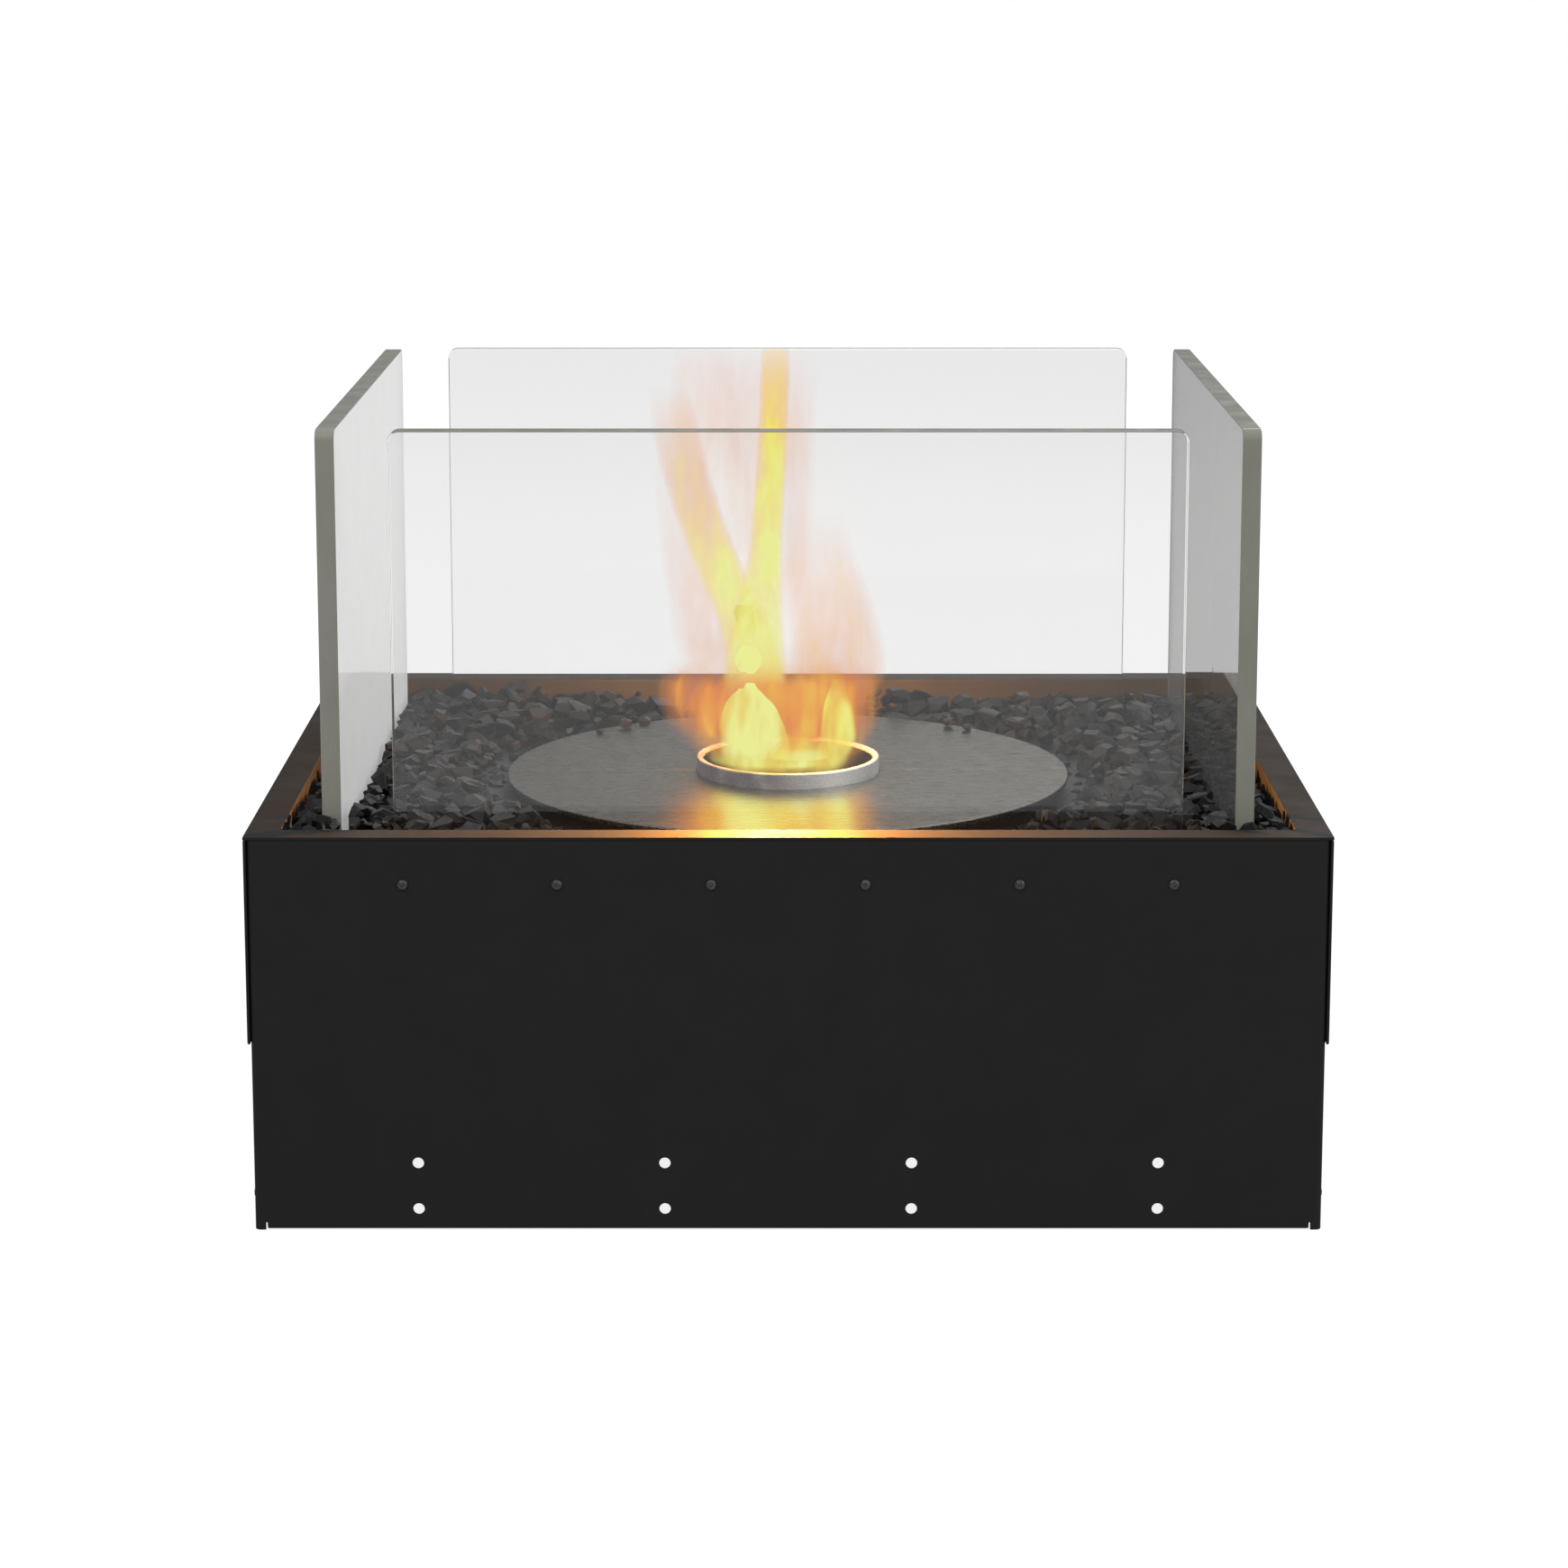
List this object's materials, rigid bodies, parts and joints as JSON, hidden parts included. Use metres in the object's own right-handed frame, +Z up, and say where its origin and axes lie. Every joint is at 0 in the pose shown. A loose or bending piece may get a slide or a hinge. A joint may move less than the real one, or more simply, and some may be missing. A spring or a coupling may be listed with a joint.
{
  "type": "bioethanol fireplace",
  "caption": "Low rectangular bioethanol fireplace: black folded-steel casing, stone-filled tray, round burner in a steel top plate, and glass wind screens round the flame.",
  "frame": {"origin": "on the floor, under the middle of the casing", "axes": "+Z up, +X to the right seen from the front, the front faces -Y"},
  "size_m": [0.5686, 0.4536, 0.42],
  "materials": {
    "black_steel": "black powder coat, satin, fine orange peel",
    "zinc_steel": "zinc-coated folded sheet",
    "black_screw": "black oxide screw heads",
    "burner_steel": "stainless steel, fine brushed",
    "plate_steel": "brushed stainless steel, warm grey",
    "polished_steel": "mirror-polished stainless steel",
    "ceramic_wool": "white ceramic wool",
    "clear_glass": "clear toughened glass with polished edges",
    "black_stone": "crushed dark stone with sharp facets"
  },
  "bodies": {
    "casing": {"front_panel": "black_steel", "back_panel": "black_steel", "left_side_panel": "black_steel", "right_side_panel": "black_steel", "left_skirt": "black_steel", "right_skirt": "black_steel", "fire_tray": "black_steel", "front_rail": "zinc_steel", "back_rail": "zinc_steel", "left_rail": "zinc_steel", "right_rail": "zinc_steel", "burner_well": "zinc_steel", "heat_shield": "zinc_steel", "front_glass_holder_1": "zinc_steel", "front_glass_holder_2": "zinc_steel", "back_glass_holder_1": "zinc_steel", "back_glass_holder_2": "zinc_steel", "left_glass_holder_1": "zinc_steel", "left_glass_holder_2": "zinc_steel", "right_glass_holder_1": "zinc_steel", "right_glass_holder_2": "zinc_steel", "stone_bed": "black_stone", "front_screw_1": "black_screw", "front_screw_2": "black_screw", "front_screw_3": "black_screw", "front_screw_4": "black_screw", "front_screw_5": "black_screw", "front_screw_6": "black_screw", "back_screw_1": "black_screw", "back_screw_2": "black_screw", "back_screw_3": "black_screw", "back_screw_4": "black_screw", "back_screw_5": "black_screw", "back_screw_6": "black_screw", "left_skirt_screw_1": "black_screw", "left_skirt_screw_2": "black_screw", "left_skirt_screw_3": "black_screw", "right_skirt_screw_1": "black_screw", "right_skirt_screw_2": "black_screw", "right_skirt_screw_3": "black_screw", "left_front_base_screw": "black_screw", "left_back_base_screw": "black_screw", "right_front_base_screw": "black_screw", "right_back_base_screw": "black_screw"},
    "burner": {"burner_tank": "burner_steel", "absorbent_core": "ceramic_wool", "burner_deck": "burner_steel", "burner_neck": "burner_steel", "burner_collar": "polished_steel", "top_plate_front": "plate_steel", "top_plate_back": "plate_steel"},
    "front_screen": {"front_glass": "clear_glass"},
    "back_screen": {"back_glass": "clear_glass"},
    "left_screen": {"left_glass": "clear_glass"},
    "right_screen": {"right_glass": "clear_glass"}
  },
  "joints": [
    {"name": "burner_lift", "type": "slide", "parent": "casing", "child": "burner", "axis": [0, 0, 1], "range_m": [0, 0.12]},
    {"name": "front_glass_lift", "type": "slide", "parent": "casing", "child": "front_screen", "axis": [0, 0, 1], "range_m": [0, 0.06]},
    {"name": "back_glass_lift", "type": "slide", "parent": "casing", "child": "back_screen", "axis": [0, 0, 1], "range_m": [0, 0.06]},
    {"name": "left_glass_lift", "type": "slide", "parent": "casing", "child": "left_screen", "axis": [0, 0, 1], "range_m": [0, 0.06]},
    {"name": "right_glass_lift", "type": "slide", "parent": "casing", "child": "right_screen", "axis": [0, 0, 1], "range_m": [0, 0.06]}
  ]
}
